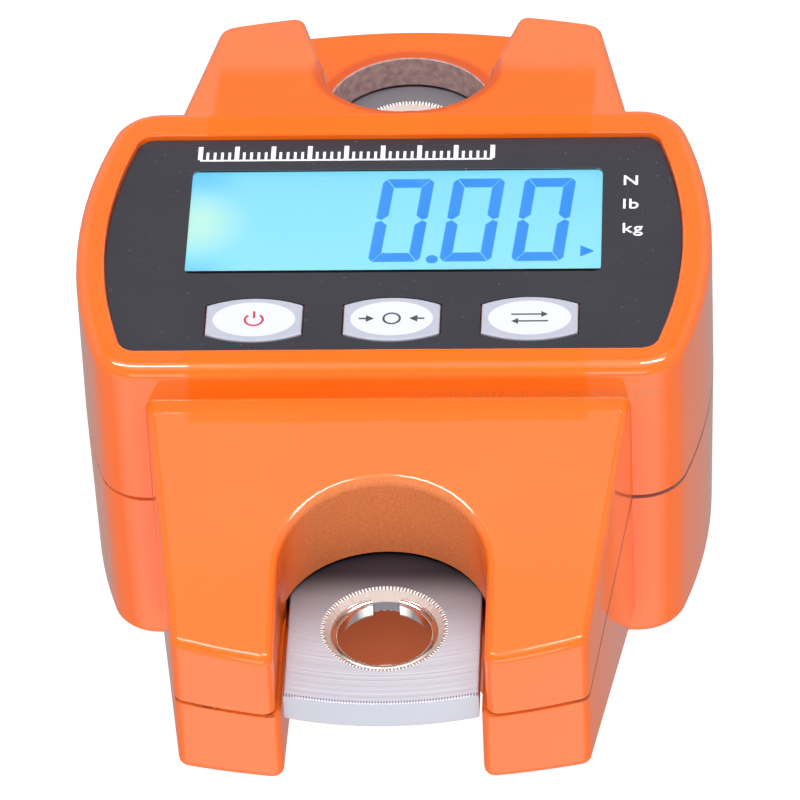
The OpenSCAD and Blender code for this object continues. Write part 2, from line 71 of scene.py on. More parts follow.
middle_y = sum(corner[1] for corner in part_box("overlay_panel")) / 2 / MM - panel_middle
front_lo, front_hi = box_mm("front_shell")
_, rear_hi = box_mm("rear_shell")
panel_lo, panel_hi = box_mm("overlay_panel")
window_lo, window_hi = box_mm("lcd_window")
glass_lo, glass_hi = box_mm("lcd_glass")
plate_lo, plate_hi = box_mm("load_cell")
cover_lo, cover_hi = box_mm("battery_cover")
tray_lo, tray_hi = box_mm("battery_box")

half_w = front_hi.x
half_d = 29.6
split_z = front_lo.z
rim_z = front_hi.z
panel_z = panel_lo.z
panel_top = panel_hi.z
side_bow = 82.0
corner_r = 7.0
panel_bow = 78.0
panel_corner_r = 2.45
wall = 2.4
ceiling_z = panel_z - wall
rear_draft = 0.5

lower_reach = 46.9
upper_reach = rear_hi.y - half_d
arm_root_x = 33.7
arm_tip_x = 28.2
arm_end_r = 86.0
arm_root_top = 44.2
lower_tip_top = 35.9
upper_tip_top = 37.6
arm_root_bottom = 4.0
arm_tip_bottom = 14.7

notch_r = 14.3
rear_notch_r = 13.7
notch_y = 58.3
lower_eye_y = 59.5
upper_eye_y = 50.2
hole_r = 12.1
hole_y = 50.3
bridge_top = 33.4
recess_end_x = 16.8
plate_gap = 0.5
plate_half_w = plate_hi.x
screw_x = 34.6
screw_y = 21.8
counterbore_r = 2.8
clamp_x = 8.5
clamp_y = 31.5
clamp_hole_r = 2.1
post_r = 3.6
eye_r = 7.0
sink_r = 8.6
sink_depth = 1.4
plate_end_r = 50.0
print("body middle", round(middle_y, 3), "rim", rim_z, "split", split_z)

# %% [markdown]
# ## Camera
# A long lens from far off, nearly 40 degrees up and a little to the right of the middle, turned
# slightly about its own axis. A long lens keeps the two arms close to parallel.

# %% Camera
camera_azimuth = math.radians(3.65)
camera_elevation = math.radians(39.81)
camera_turn = math.radians(-2.68)
camera_distance = 1.07665
camera_aim = Vector((0.12 * MM, (middle_y - 4.54) * MM, 23 * MM))

camera_data = bpy.data.cameras.new("camera")
camera_data.lens = 338.3
camera_data.sensor_width = 36.0
camera_data.clip_start = 0.05
camera = bpy.data.objects.new("camera", camera_data)
bpy.context.scene.collection.objects.link(camera)
look = (Matrix.Rotation(camera_azimuth, 4, "Z")
        @ Matrix.Rotation(math.pi / 2 - camera_elevation, 4, "X")
        @ Matrix.Rotation(camera_turn, 4, "Z"))
camera.matrix_world = (Matrix.Translation(camera_aim) @ look
                       @ Matrix.Translation((0, 0, camera_distance)))
bpy.context.scene.camera = camera
print("camera at", [round(v, 4) for v in camera.matrix_world.translation])

# %% [markdown]
# ## Helpers for shapes
# An outline is a ring of points with its round stretches worked out by `arc`. `prism` fills such a
# ring and extrudes it. Holes are cut with the Boolean modifier, whose result is read back as a
# mesh, and edges are rounded with the bevel operator. These are the steps that a person takes at
# the bench: saw the block, drill it, then break the edges.

# %% Outline, prism, cut and round
def arc(cx, cy, r, start, stop, steps):
    """Points along an arc, in degrees, both ends included."""
    turns = [math.radians(start + (stop - start) * i / steps) for i in range(steps + 1)]
    return [(cx + r * math.cos(t), cy + r * math.sin(t)) for t in turns]


def prism(outline, z0, z1):
    """A closed solid over an outline."""
    bm = bmesh.new()
    base = bm.faces.new([bm.verts.new((x, y, z0)) for x, y in outline])
    made = bmesh.ops.extrude_face_region(bm, geom=[base])
    lid = [v for v in made["geom"] if isinstance(v, bmesh.types.BMVert)]
    bmesh.ops.translate(bm, verts=lid, vec=(0, 0, z1 - z0))
    bmesh.ops.recalc_face_normals(bm, faces=bm.faces)
    return bm


def block(x0, x1, y0, y1, z0, z1):
    return prism([(x0, y0), (x1, y0), (x1, y1), (x0, y1)], z0, z1)


def drill(cx, cy, r, z0, z1, steps=32):
    return prism(arc(cx, cy, r, 0, 360 - 360 / steps, steps - 1), z0, z1)


def slice_off(bm, point, normal):
    """Cuts away what lies beyond a plane and closes the cut."""
    cut = bmesh.ops.bisect_plane(bm, geom=bm.verts[:] + bm.edges[:] + bm.faces[:],
                                 plane_co=point, plane_no=normal, clear_outer=True)
    rim = [e for e in cut["geom_cut"] if isinstance(e, bmesh.types.BMEdge)]
    bmesh.ops.edgeloop_fill(bm, edges=rim)
    bmesh.ops.recalc_face_normals(bm, faces=bm.faces)


def temporary(bm, name="work"):
    """Puts a bmesh into the scene for a modifier to work on."""
    mesh = bpy.data.meshes.new(name)
    bm.to_mesh(mesh)
    bm.free()
    obj = bpy.data.objects.new(name, mesh)
    bpy.context.scene.collection.objects.link(obj)
    return obj


def combine(bm, other, operation, tidy=True):
    """Joins or cuts two closed solids; tidy also merges the flat faces that the cut has split."""
    target = temporary(bm)
    tool = temporary(other)
    boolean = target.modifiers.new("boolean", "BOOLEAN")
    boolean.object = tool
    boolean.operation = operation
    boolean.solver = "EXACT"
    result = bmesh.new()
    result.from_object(target, bpy.context.evaluated_depsgraph_get())
    for obj in (target, tool):
        mesh = obj.data
        bpy.data.objects.remove(obj)
        bpy.data.meshes.remove(mesh)
    bmesh.ops.remove_doubles(result, verts=result.verts, dist=0.002)
    if tidy:
        bmesh.ops.dissolve_limit(result, angle_limit=math.radians(0.4), verts=result.verts,
                                 edges=result.edges)
    return result


def cut(bm, *others, tidy=True):
    for other in others:
        bm = combine(bm, other, "DIFFERENCE", tidy)
    return bm


def join(bm, *others):
    for other in others:
        bm = combine(bm, other, "UNION")
    return bm


def is_sharp(edge, degrees=25):
    return len(edge.link_faces) == 2 and edge.calc_face_angle(0) > math.radians(degrees)


def round_edges(bm, width, segments, chosen):
    """Rounds the sharp edges that a rule picks."""
    edges = [e for e in bm.edges if is_sharp(e) and chosen(e)]
    bmesh.ops.bevel(bm, geom=edges, offset=width, offset_type="OFFSET", segments=segments,
                    profile=0.5, affect="EDGES", clamp_overlap=True, material=-1)
    return len(edges)


def between(edge, axis, low, high):
    """Whether both ends of an edge lie between two values on an axis."""
    return all(low <= v.co[axis] <= high for v in edge.verts)


def at_height(edge, z):
    return between(edge, 2, z - 0.01, z + 0.01)


def turned(bm, degrees):
    """Turns a shape about the upright axis through the body's middle."""
    bmesh.ops.rotate(bm, verts=bm.verts, cent=(0, 0, 0),
                     matrix=Matrix.Rotation(math.radians(degrees), 3, "Z"))
    return bm


# %% Finish a piece
def finish_piece(bm, name, body, material, replaces=(), smooth=30):
    """Moves a shape to the frame's place, in metres, and makes it ride on its body."""
    bmesh.ops.translate(bm, verts=bm.verts, vec=(0, middle_y, 0))
    bmesh.ops.scale(bm, verts=bm.verts, vec=(MM, MM, MM))
    obj = temporary(bm, name)
    obj.data.shade_smooth()
    obj.data.set_sharp_from_angle(angle=math.radians(smooth))
    weights = obj.modifiers.new("flat faces first", "WEIGHTED_NORMAL")
    weights.keep_sharp = True
    obj.data.materials.append(material)
    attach(obj, body)
    if replaces:
        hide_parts(*replaces)
    print(name, len(obj.data.polygons), "faces")
    return obj


# %% [markdown]
# ## Helpers for materials
# Every finish is a Principled shader fed by a few procedural nodes on Object coordinates, so the
# grain stays at its real size on each piece. A mask is a value from 0 to 1 worked out from the
# place on the object, and it decides where a worn or thin spot shows.

# %% Node helpers
def new_material(name, **values):
    """A Principled material with its plain values set on the shader itself."""
    material = bpy.data.materials.new(name)
    material.use_nodes = True
    shader = material.node_tree.nodes["Principled BSDF"]
    for socket, value in values.items():
        shader.inputs[socket.replace("_", " ")].default_value = value
    return material


def srgb(r, g, b, a=1.0):
    """A colour given as on a paint card, 0 to 255, in the linear values that shaders use."""
    def linear(c):
        c /= 255
        return c / 12.92 if c <= 0.04045 else ((c + 0.055) / 1.055) ** 2.4
    return (linear(r), linear(g), linear(b), a)


def grey(v):
    return (v, v, v, 1.0)


def principled(material):
    return material.node_tree.nodes["Principled BSDF"]


def feed(material, source, socket):
    """Links an output to an input, or sets the input to a plain value."""
    if isinstance(source, bpy.types.NodeSocket):
        material.node_tree.links.new(source, socket)
    else:
        socket.default_value = source


def add(material, kind, **values):
    """A node with its inputs set or linked by name."""
    node = material.node_tree.nodes.new(kind)
    for socket, value in values.items():
        feed(material, value, node.inputs[socket.replace("_", " ")])
    return node


def calc(material, operation, a, b=0.0):
    """One step of arithmetic on values or sockets."""
    node = material.node_tree.nodes.new("ShaderNodeMath")
    node.operation = operation
    feed(material, a, node.inputs[0])
    feed(material, b, node.inputs[1])
    return node.outputs[0]


def times(material, first, *others):
    """The product of values or sockets."""
    for other in others:
        first = calc(material, "MULTIPLY", first, other)
    return first


def minus(material, a, b):
    return calc(material, "SUBTRACT", a, b)


def unsigned(material, value):
    return calc(material, "ABSOLUTE", value)


def xyz(material, kind):
    """The three parts of a coordinate; Object gives the place on the piece in metres."""
    vector = add(material, "ShaderNodeTexCoord").outputs[kind]
    parts = add(material, "ShaderNodeSeparateXYZ", Vector=vector)
    return [parts.outputs[axis] for axis in "XYZ"]


def y_at(mm):
    """A place along the object, given from the body's middle, as a shader sees it."""
    return (middle_y + mm) * MM


def noise(material, scale, detail=3.0, roughness=0.55, stretch=(1, 1, 1)):
    vector = add(material, "ShaderNodeTexCoord").outputs["Object"]
    mapping = add(material, "ShaderNodeMapping", Vector=vector, Scale=stretch)
    node = add(material, "ShaderNodeTexNoise", Vector=mapping.outputs["Vector"], Scale=scale,
               Detail=detail, Roughness=roughness)
    return node.outputs["Fac"]


def fade(material, value, zero_at, one_at):
    """A mask that rises smoothly from 0 to 1 between two values."""
    node = add(material, "ShaderNodeMapRange", Value=value, From_Min=zero_at, From_Max=one_at)
    node.interpolation_type = "SMOOTHSTEP"
    return node.outputs["Result"]


def fade_mm(material, value, zero_at, one_at):
    """The same between two places or distances in millimetres."""
    return fade(material, value, zero_at * MM, one_at * MM)


def stripes(material, value, rate, soft):
    """Bands of 0 and 1 along a value, with soft edges."""
    return fade(material, calc(material, "SINE", times(material, value, rate)), -soft, soft)


def distance_to(material, x, y, cx, cy):
    """Distance from an upright axis."""
    squares = [calc(material, "POWER", unsigned(material, minus(material, a, b)), 2.0)
               for a, b in ((x, cx), (y, cy))]
    return calc(material, "SQRT", calc(material, "ADD", *squares))


def blend(material, mask, a, b):
    """Colour a where the mask is 0 and b where it is 1."""
    node = material.node_tree.nodes.new("ShaderNodeMix")
    node.data_type = "RGBA"
    for source, socket in ((mask, node.inputs[0]), (a, node.inputs[6]), (b, node.inputs[7])):
        feed(material, source, socket)
    return node.outputs[2]


def layers(material, colour, *coats):
    """Lays colours over a first one, each through its mask."""
    for mask, coat in coats:
        colour = blend(material, mask, colour, coat)
    return colour


def shade(material, socket, source):
    """Feeds one socket of the material's shader."""
    feed(material, source, principled(material).inputs[socket])


def bump(material, height, strength, distance):
    node = add(material, "ShaderNodeBump", Strength=strength, Distance=distance, Height=height)
    shade(material, "Normal", node.outputs["Normal"])


# %% [markdown]
# ## Orange coat
# The case is cast metal with a thick gloss coat: an even orange under a clear mirror-like layer,
# with a faint orange-peel waviness a few millimetres long. The gloss is full on the body and on
# the end faces, fades towards the tip of the lower arm, and is lost in a ragged strip on that
# arm beside the body. Inside the notch and the upper hole the spray hardly reached, so there the
# coat is thin, rough and brownish, and bare metal shows through; below the load cell that thin
# coat is given a darker painted shade. A darker ring round the upper hole is partly thick coat
# and partly painted shade on its rounded lip. The joint of the shells is a fine brown line with
# darker chips, wider at the right side, and some dust lies in the crease over the lower arm.

# %% Where the coat is thin, chipped or dusty, and the ring of painted shade at the hole
paint = new_material("orange_coat", Coat_IOR=1.5, Coat_Roughness=0.06, Specular_IOR_Level=0.2)
coat_x, coat_y, coat_z = xyz(paint, "Object")
fine = noise(paint, 900.0, 4.0, 0.6)
dust = noise(paint, 3200.0, 2.0, 0.5)

behind = calc(paint, "MAXIMUM", minus(paint, coat_y, y_at(-notch_y)), 0.0)
to_notch = distance_to(paint, coat_x, behind, 0.0, 0.0)
in_notch = times(paint, fade_mm(paint, to_notch, notch_r + 0.9, notch_r + 0.25),
                 fade_mm(paint, behind, 2.0, 11.0))
to_hole = distance_to(paint, coat_x, coat_y, 0.0, y_at(hole_y))
in_hole = fade_mm(paint, to_hole, hole_r + 0.8, hole_r + 0.2)
thin = calc(paint, "MAXIMUM", times(paint, in_notch, 0.75), in_hole)
# Ring round the upper hole, darker: partly thick coat, partly painted shade on the rounded lip.
lip_ring_of_coat_and_shade = times(paint, fade_mm(paint, to_hole, hole_r + 2.5, hole_r + 1.3),
                 fade_mm(paint, to_hole, hole_r + 0.1, hole_r + 0.3))

off_joint = unsigned(paint, minus(paint, coat_z, split_z * MM))
near_joint = fade_mm(paint, off_joint, 0.42, 0.22)
chips = times(paint, near_joint, fade(paint, noise(paint, 420.0), 0.58, 0.64))
seam = calc(paint, "MAXIMUM", times(paint, chips, 0.6), times(paint, near_joint, 0.3))
open_side = times(paint, fade_mm(paint, coat_x, 24.0, 31.0),
                  fade_mm(paint, off_joint, 0.42, 0.3))
crease_y = y_at(-half_d - 0.2)
crease_z = (arm_root_top + 0.6) * MM
to_crease = calc(paint, "ADD", unsigned(paint, minus(paint, coat_z, crease_z)),
                 unsigned(paint, minus(paint, coat_y, crease_y)))
crease_dust = times(paint, fade_mm(paint, to_crease, 2.1, 0.5), fade(paint, dust, 0.2, 0.7),
                    fade_mm(paint, coat_x, -12.0, 12.0))
print("coat masks ready")

# %% Colour of the coat
orange = blend(paint, noise(paint, 60.0), srgb(250, 103, 8), srgb(255, 113, 16))
bare = blend(paint, fade(paint, fine, 0.25, 0.75), srgb(172, 144, 142), srgb(210, 184, 180))
thin_coat_and_shade = blend(paint, dust, srgb(180, 100, 52), srgb(220, 154, 108))
# Painted shade: below the load cell the thin coat turns a darker brown, where little light reaches.
painted_shade_under_cell = fade_mm(paint, coat_z, split_z - 1.0, split_z - 3.0)
thin_coat_and_shade = blend(paint, painted_shade_under_cell, thin_coat_and_shade, srgb(126, 80, 62))
side_gap = blend(paint, dust, srgb(128, 62, 48), srgb(176, 96, 78))
# The coat's colour in layers: thin coat with its painted shade, bare metal, the ring of thick coat
# and painted shade round the upper hole, the joint, the open side and dust in the crease.
colour = layers(paint, orange, (thin, blend(paint, in_hole, thin_coat_and_shade, bare)),
                (times(paint, lip_ring_of_coat_and_shade, 0.8), srgb(206, 78, 12)), (seam, srgb(104, 52, 34)),
                (open_side, side_gap), (times(paint, crease_dust, 0.6), srgb(168, 108, 48)))
shade(paint, "Base Color", colour)

# %% Gloss of the coat
shade(paint, "Roughness", fade(paint, thin, -0.9, 1.1))
end_face = fade(paint, xyz(paint, "Normal")[1], -0.5, -0.9)
full = calc(paint, "MAXIMUM", fade(paint, coat_y, y_at(-72.0), y_at(-42.0)), end_face)
gloss = calc(paint, "ADD", 0.5, times(paint, full, 0.5))
ragged_y = calc(paint, "ADD", coat_y, times(paint, noise(paint, 250.0), 0.8 * MM))
by_wall = fade(paint, ragged_y, y_at(-half_d - 3.9), y_at(-half_d - 3.5))
on_arm = times(paint, fade_mm(paint, unsigned(paint, coat_x), arm_tip_x, arm_tip_x - 1.0),
               fade_mm(paint, coat_z, arm_root_top - 4.0, arm_root_top - 3.0))
lost = times(paint, by_wall, on_arm, 0.9)
shade(paint, "Coat Weight", times(paint, fade(paint, thin, 0.7, 0.0), gloss,
                                  minus(paint, 1.0, lost)))
waves = calc(paint, "ADD", noise(paint, 300.0, 1.5), times(paint, fine, thin, 4.0))
bump(paint, waves, 0.12, 0.3 * MM)
print("orange coat ready")

# %% [markdown]
# ## Case shells
# Each shell is one casting: a bowed box for the electronics and two tapering arms. The outer solid
# is built first and its edges rounded, because that is what the eye meets. The arms are rounded
# before they join the body, so their edges run straight into its wall, and the crease between them
# gets its own small fillet. The room inside, the seats of panel, keys and load cell, the battery
# bay and the screw holes are cut last, with plain edges.

# %% Outlines of body and arms
def barrel(half_x, half_y, bow, r):
    """An outline with bowed sides, straight ends and round corners."""
    bow_x = half_x - bow
    corner_y = half_y - r
    corner_x = bow_x + math.sqrt((bow - r) ** 2 - corner_y ** 2)
    meet = math.degrees(math.atan2(corner_y, corner_x - bow_x))
    right = (arc(corner_x, -corner_y, r, -90, -meet, 8)
             + arc(bow_x, 0, bow, -meet, meet, 16)[1:-1]
             + arc(corner_x, corner_y, r, meet, 90, 8))
    return right + [(-x, -y) for x, y in right]


def body_outline(inset=0.0):
    return barrel(half_w - inset, half_d - inset, side_bow - inset, corner_r - inset)


def panel_outline(grow):
    outline = barrel(panel_hi.x + grow, (panel_hi.y - panel_lo.y) / 2 + grow, panel_bow,
                     panel_corner_r + grow)
    return [(x, y + panel_middle) for x, y in outline]


def soften(outline, tip_r, mouth_r):
    """Rounds the corners at the tips and at the mouth of an arm's outline."""
    soft = []
    for i, (x, y) in enumerate(outline):
        here = Vector((x, y))
        back = (Vector(outline[i - 1]) - here).normalized()
        on = (Vector(outline[(i + 1) % len(outline)]) - here).normalized()
        turn = math.pi - back.angle(on)
        if turn < math.radians(30) or y < half_d + 1:
            soft.append((x, y))
            continue
        r = tip_r if abs(x) > 20 else mouth_r
        reach = r * math.tan(turn / 2)
        middle = here + (back + on).normalized() * (r / math.cos(turn / 2))
        first = math.atan2(*(here + back * reach - middle).yx)
        last = math.atan2(*(here + on * reach - middle).yx)
        sweep = (last - first + math.pi) % math.tau - math.pi
        soft += arc(*middle, r, math.degrees(first), math.degrees(first + sweep), 5)
    return soft


def arm_outline(reach, inset=0.0, mouth=(), mouth_x=0.0):
    """An arm's plan, pointing up, with its curved end and perhaps a mouth cut into it."""
    tip_x = arm_tip_x - inset
    root_x = arm_root_x - inset
    arc_y = half_d + reach - inset - arm_end_r
    side, stop = (math.degrees(math.acos(x / arm_end_r)) for x in (tip_x, mouth_x))
    right = arc(0, arc_y, arm_end_r, side, stop, 5)
    left = [(-x, y) for x, y in reversed(right)]
    ring = ([(root_x, half_d - 8), (root_x, half_d)] + right + list(mouth)
            + (left if mouth else left[1:]) + [(-root_x, half_d), (-root_x, half_d - 8)])
    return soften(ring, 1.8 if reach == lower_reach else 3.0, 1.6)


def arm_block(reach, z_root, z_tip, inset=0.0, outline=None, z_near=None):
    """An arm as a prism with its far face sawn to a slope."""
    up = z_root > split_z
    fall = (z_tip - z_root) / reach
    z_near = split_z if z_near is None else z_near
    bm = prism(outline or arm_outline(reach, inset),
               *sorted((z_near, z_root + (12 if up else -6))))
    inward = inset if up else -inset
    normal = Vector((0, -fall, 1)) if up else Vector((0, fall, -1))
    slice_off(bm, (0, half_d, z_root - inward), normal)
    return bm


def notch_cutter(r, z0, z1):
    """The open notch of the lower arm, drawn on an arm that points up."""
    far = half_d + lower_reach + 5
    return prism(arc(0, notch_y, r, 180, 360, 32) + [(r, far), (-r, far)], z0, z1)


def recess_cutter(z0, z1, grow=0.0):
    far = half_d + upper_reach + 2
    return prism([(hole_r + grow, hole_y), (recess_end_x + grow, far),
                  (-recess_end_x - grow, far), (-hole_r - grow, hole_y)], z0, z1)


# %% Arms with their notch and holes
edge_round = 1.3
mouth_x = 16.2
part_edge = 0.28
lip_half_w = 14.5
lip_round = 1.2
below = -5
above = rim_z + 5


def touches_split(edge):
    return at_height(edge, split_z)


def inside_body(edge):
    return all(v.co.y < half_d - 4 for v in edge.verts)


def break_arm_edges(bm):
    made = round_edges(bm, edge_round, 4,
                       lambda e: not touches_split(e) and not inside_body(e))
    made += round_edges(bm, part_edge, 1, lambda e: touches_split(e) and not inside_body(e))
    return made


def lower_arm(z_root, z_tip, r):
    outline = arm_outline(lower_reach, mouth=arc(0, notch_y, r, 0, -180, 24), mouth_x=r)
    bm = arm_block(lower_reach, z_root, z_tip, outline=outline)
    print("lower arm edges", break_arm_edges(bm))
    return turned(bm, 180)


def upper_arm(z_root, z_tip):
    bm = cut(arm_block(upper_reach, z_root, z_tip), drill(0, hole_y, hole_r, below, above, 64))
    print("upper arm edges", break_arm_edges(bm))
    return bm


def pronged_arm(z_root, z_tip):
    """The upper arm of the front shell: a low bridge with the hole, and two prongs beside it."""
    side = math.degrees(math.acos(mouth_x / arm_end_r))
    end = arc(0, half_d + upper_reach - arm_end_r, arm_end_r, side, 180 - side, 10)[1:-1]
    outline = arm_outline(upper_reach, mouth=end, mouth_x=mouth_x)
    bridge = cut(prism(outline, split_z, bridge_top), drill(0, hole_y, hole_r, below, above, 64))
    round_edges(bridge, part_edge, 1, lambda e: touches_split(e) and not inside_body(e))
    made = round_edges(bridge, lip_round, 4, lambda e: at_height(e, bridge_top)
                       and between(e, 0, -lip_half_w, lip_half_w)
                       and between(e, 1, hole_y + 1, above * 2))
    opening = arc(0, hole_y, hole_r, 0, -180, 32)
    outline = arm_outline(upper_reach, mouth=opening, mouth_x=mouth_x)
    prongs = arm_block(upper_reach, z_root, z_tip, outline=outline, z_near=bridge_top)
    made += round_edges(prongs, edge_round, 4,
                        lambda e: not at_height(e, bridge_top) and not inside_body(e))
    print("pronged arm edges", made)
    return join(bridge, prongs)


# %% Body blocks
rim_round = 2.0
rim_inner_round = 0.55
base_round = 1.2


def front_body():
    """The front half of the body, with the sunk seat of the panel in its top."""
    bm = prism(body_outline(), split_z, rim_z)
    round_edges(bm, rim_round, 5, lambda e: at_height(e, rim_z))
    bm = cut(bm, prism(panel_outline(0.05), panel_z, above))
    round_edges(bm, rim_inner_round, 3, lambda e: at_height(e, rim_z))
    round_edges(bm, part_edge, 1, touches_split)
    return bm


def rear_body():
    """The rear half of the body, drawn in towards the rear face."""
    bm = prism(body_outline(), 0.0, split_z)
    low = [v for v in bm.verts if v.co.z < 1]
    bmesh.ops.scale(bm, verts=low, vec=(1 - rear_draft / half_w, 1 - rear_draft / half_d, 1))
    round_edges(bm, base_round, 4, lambda e: at_height(e, 0))
    round_edges(bm, part_edge, 1, touches_split)
    return bm


# %% Join the blocks and fillet the creases
def crease_fillet(bm, width=0.9):
    """Rounds the inward crease where the arms leave the body."""
    def is_crease(edge):
        on_wall = all(abs(abs(v.co.y) - half_d) < 1.0 for v in edge.verts)
        return on_wall and not edge.is_convex and not touches_split(edge)
    return round_edges(bm, width, 4, is_crease)


def build_shell(body, lower, upper):
    bm = join(body, lower, upper)
    print("crease edges", crease_fillet(bm))
    return bm


def posts(places, r, z0, z1):
    return [drill(x, y, r, z0, z1) for x, y in places]


def corners(x, y):
    return [(sx * x, sy * y) for sx in (-1, 1) for sy in (-1, 1)]


def room(z0, z1, z_root, lower_tip, upper_tip, r, inset, recess, bosses):
    """The space inside one shell; its posts and the walls round notch and hole stay."""
    arms = [turned(cut(arm_block(lower_reach, z_root, lower_tip, wall),
                       notch_cutter(r + wall, below, above)), 180),
            cut(arm_block(upper_reach, z_root, upper_tip, wall),
                drill(0, hole_y, hole_r + wall, below, above, 64), *recess)]
    hollow = prism(body_outline(inset), z0, z1)
    return cut(join(hollow, *arms), *bosses)


def plate_slot(z0, z1):
    reach = plate_half_w + plate_gap
    return block(-reach, reach, -notch_y, upper_eye_y + plate_half_w, z0, z1)


# %% Front shell
key_pitch = 19.3
key_x = 0.3
key_y = -17.35
key_half_w = 6.75
key_half_d = 4.75
key_side = 3.15


def key_outline(grow=0.0, scale=1.0):
    """A pad with straight ends and bowed long sides."""
    half_x = key_half_w * scale
    rise = (key_half_d - key_side) * scale
    bow = (half_x ** 2 + rise ** 2) / (2 * rise)
    turn = math.degrees(math.asin(half_x / bow))
    top = arc(0, key_half_d * scale - bow, bow, 90 - turn, 90 + turn, 16)
    top = [(x * (1 + grow / half_x), y + grow) for x, y in top]
    return top + [(-x, -y) for x, y in top]


def moved(outline, dx, dy):
    return [(x + dx, y + dy) for x, y in outline]


key_places = [(key_x + i * key_pitch, key_y) for i in (-1, 0, 1)]
front = build_shell(front_body(), lower_arm(arm_root_top, lower_tip_top, notch_r),
                    pronged_arm(arm_root_top, upper_tip_top))
front_room = room(split_z - 1, ceiling_z, arm_root_top, lower_tip_top, upper_tip_top, notch_r, wall,
                  [recess_cutter(below, above, wall)],
                  posts(corners(screw_x, screw_y), post_r, below, above))
display_well = block(glass_lo.x - 0.2, glass_hi.x + 0.2, glass_lo.y - 0.2, glass_hi.y + 0.2,
                     ceiling_z - 1, above)
key_wells = [prism(moved(key_outline(0.2), x, y), ceiling_z - 1, above) for x, y in key_places]
front = cut(front, front_room, plate_slot(split_z - 1, plate_hi.z + plate_gap), display_well,
            *key_wells, tidy=False)
finish_piece(front, "front_case", "case", paint, ["front_shell"])

# %% Rear shell
rear = build_shell(rear_body(), lower_arm(arm_root_bottom, arm_tip_bottom, rear_notch_r),
                   upper_arm(arm_root_bottom, arm_tip_bottom))
clamp_places = [(-clamp_x, clamp_y), (clamp_x, clamp_y)]
clamp_posts = posts(clamp_places, post_r, below, plate_lo.z)
rear_room = room(wall, split_z + 1, arm_root_bottom, arm_tip_bottom, arm_tip_bottom, rear_notch_r,
                 wall + 1.6, [], posts(corners(screw_x, screw_y), post_r, below, above)
                 + [bm.copy() for bm in clamp_posts])
battery_bay = block(tray_lo.x - 0.4, tray_hi.x + 0.4, tray_lo.y - 0.4, tray_hi.y + 0.4, -1, 9)
cover_seat = block(cover_lo.x - 0.2, cover_hi.x + 0.2, -half_d - 2, cover_hi.y + 0.2, -1,
                   cover_hi.z + 0.1)
rear = cut(rear, rear_room, cut(plate_slot(plate_lo.z - plate_gap, split_z + 1), *clamp_posts),
           battery_bay, cover_seat,
           *posts(corners(screw_x, screw_y), counterbore_r, -1, 5.5), tidy=False)
finish_piece(rear, "rear_case", "case", paint, ["rear_shell"])

# %% [markdown]
# ## Front film and display
# The front is a thin dark grey film with print on it, sunk just below the rim. It has a clear
# window over the display. Behind the window lies the liquid-crystal glass, lit from behind through
# a diffuser whose lamp sits at the left, which is why that end glows pale and the corners stay
# deeper blue. The clear window is a real thin slab that lets the light of the display through.

# %% Finishes of film, print, window and display
film_finish = new_material("dark_film", Roughness=0.32, Specular_IOR_Level=0.3)
specks = fade(film_finish, noise(film_finish, 2600.0, 1.0), 0.77, 0.80)
cloud = blend(film_finish, noise(film_finish, 90.0), srgb(50, 48, 56), srgb(58, 57, 65))
shade(film_finish, "Base Color", blend(film_finish, specks, cloud, srgb(150, 150, 150)))

print_white = new_material("white_print", Base_Color=srgb(244, 244, 247), Roughness=0.5)
print_red = new_material("red_print", Base_Color=srgb(190, 44, 62), Roughness=0.5)
print_grey = new_material("grey_print", Base_Color=srgb(60, 60, 66), Roughness=0.5)

window_finish = new_material("clear_window", Transmission_Weight=1.0, Roughness=0.0, IOR=1.3,
                             Base_Color=srgb(250, 254, 255))

lit_glass = new_material("lit_display", Roughness=0.4, Base_Color=grey(0.02),
                         Emission_Strength=1.03)
lit_x, lit_y, _ = xyz(lit_glass, "Object")
lamp_place = (glass_lo.x + 1.0) * MM, y_at(5.5)
glow = fade_mm(lit_glass, distance_to(lit_glass, lit_x, lit_y, *lamp_place), 9.5, 1.0)
to_end = fade_mm(lit_glass, lit_x, -20.0, -28.5)
off_axis = fade_mm(lit_glass, unsigned(lit_glass, minus(lit_glass, lit_y, y_at(4.9))), 5.0, 12.0)
even = blend(lit_glass, fade(lit_glass, lit_y, y_at(glass_lo.y), y_at(glass_hi.y)),
             srgb(140, 230, 254), srgb(128, 222, 252))
shade(lit_glass, "Emission Color",
      layers(lit_glass, even, (times(lit_glass, to_end, off_axis), srgb(104, 208, 250)),
             (glow, srgb(192, 246, 232))))

digit_finish = new_material("display_blue", Base_Color=grey(0.0), Roughness=0.6,
                            Emission_Color=srgb(10, 146, 250), Emission_Strength=1.0)
print("display finishes ready")


# %% Front film and window
def print_on(outlines, z, name, body, material, replaces=(), thickness=0.03):
    """Thin print or foil: one prism for each outline, together in one piece."""
    sheet = bmesh.new()
    for outline in outlines:
        layer = temporary(prism(outline, z, z + thickness))
        sheet.from_mesh(layer.data)
        bpy.data.meshes.remove(layer.data)
    return finish_piece(sheet, name, body, material, replaces)


def rounded(x0, x1, y0, y1, r):
    return (arc(x1 - r, y1 - r, r, 0, 90, 4) + arc(x0 + r, y1 - r, r, 90, 180, 4)
            + arc(x0 + r, y0 + r, r, 180, 270, 4) + arc(x1 - r, y0 + r, r, 270, 360, 4))


window_outline = rounded(window_lo.x, window_hi.x, window_lo.y, window_hi.y, 1.0)
film = cut(prism(panel_outline(-0.02), panel_z, panel_top),
           prism(window_outline, panel_z - 1, above),
           *[prism(moved(key_outline(0.2), x, y), panel_z - 1, above) for x, y in key_places])
round_edges(film, 0.08, 1, lambda e: at_height(e, panel_top))
finish_piece(film, "front_film", "case", film_finish, ["overlay_panel"])

window = prism(window_outline, panel_z, panel_top - 0.05)
finish_piece(window, "display_window", "case", window_finish, ["lcd_window"])

# %% [markdown]
# ## Print on the film
# A ruler-like row of ticks heads the panel, and three unit symbols stand beside the display where
# the small pointer of the display can mark one of them. They are thin layers of white ink. The
# letters are drawn with the program's own plain typeface and turned into solid ink like the rest.

